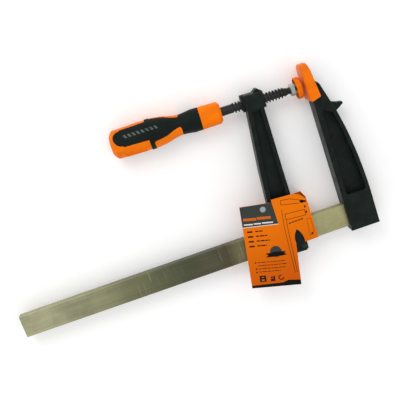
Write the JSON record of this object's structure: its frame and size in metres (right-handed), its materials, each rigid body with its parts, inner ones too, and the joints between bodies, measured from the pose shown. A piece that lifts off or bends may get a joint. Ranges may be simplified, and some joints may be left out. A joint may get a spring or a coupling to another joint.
{
  "type": "f clamp",
  "caption": "Bar clamp for woodwork: cast fixed jaw on a flat bar, sliding arm that rocks and bites on the bar, and a screw spindle with a two-part handle and swivel foot.",
  "frame": {"origin": "centre of the fixed pad's contact face, with the clamp lying flat on its side", "axes": "+X along the bar towards the back of the fixed jaw, +Y up the jaws away from the bar, +Z through the thickness"},
  "size_m": [0.3608, 0.2002, 0.029],
  "materials": {
    "zinc_bar": "yellowish zinc-grey flat bar, rubbed",
    "black_casting": "black enamel over rough sand casting",
    "orange_plastic": "moulded orange plastic",
    "black_grip": "soft black overmoulding",
    "black_screw": "oiled black oxide",
    "bright_zinc": "bright zinc plate",
    "hardened_pin": "hardened steel",
    "printed_card": "printed orange card",
    "pale_rivet": "pale grey plastic"
  },
  "bodies": {
    "frame": {"bar": "zinc_bar", "fixed_jaw": "black_casting", "jaw_rivets": "black_casting", "fixed_jaw_cap": "orange_plastic"},
    "runner": {"lock_pin": "hardened_pin"},
    "arm": {"sliding_arm": "black_casting", "hang_card": "printed_card", "card_rivet_stud": "pale_rivet", "card_rivet_socket": "pale_rivet"},
    "carrier": {"swivel_collar": "bright_zinc"},
    "screw": {"spindle": "black_screw", "handle_core": "orange_plastic", "handle_grip": "black_grip"},
    "foot": {"foot_plate": "bright_zinc", "foot_cap": "orange_plastic"}
  },
  "joints": [
    {"name": "arm_slide", "type": "slide", "parent": "frame", "child": "runner", "axis": [1, 0, 0], "range_m": [-0.245, 0]},
    {"name": "arm_rock", "type": "hinge", "parent": "runner", "child": "arm", "pos_m": [-0.045, -0.1446, 0], "axis": [0, 0, 1], "range_deg": [0, 3.3]},
    {"name": "spindle_travel", "type": "slide", "parent": "arm", "child": "carrier", "axis": [0.9994, -0.0349, 0], "range_m": [-0.024, 0]},
    {"name": "spindle_turn", "type": "hinge", "parent": "carrier", "child": "screw", "pos_m": [0, 0, 0], "axis": [0.9994, -0.0349, 0], "range_deg": [-2881, 0]},
    {"name": "foot_tilt", "type": "hinge", "parent": "carrier", "child": "foot", "pos_m": [-0.006, 0.00021, 0], "axis": [0, 0, 1], "range_deg": [-10, 10]}
  ],
  "couplings": [
    {"joint": "spindle_turn", "follows": "spindle_travel", "rad_per_m": 2094.4}
  ]
}
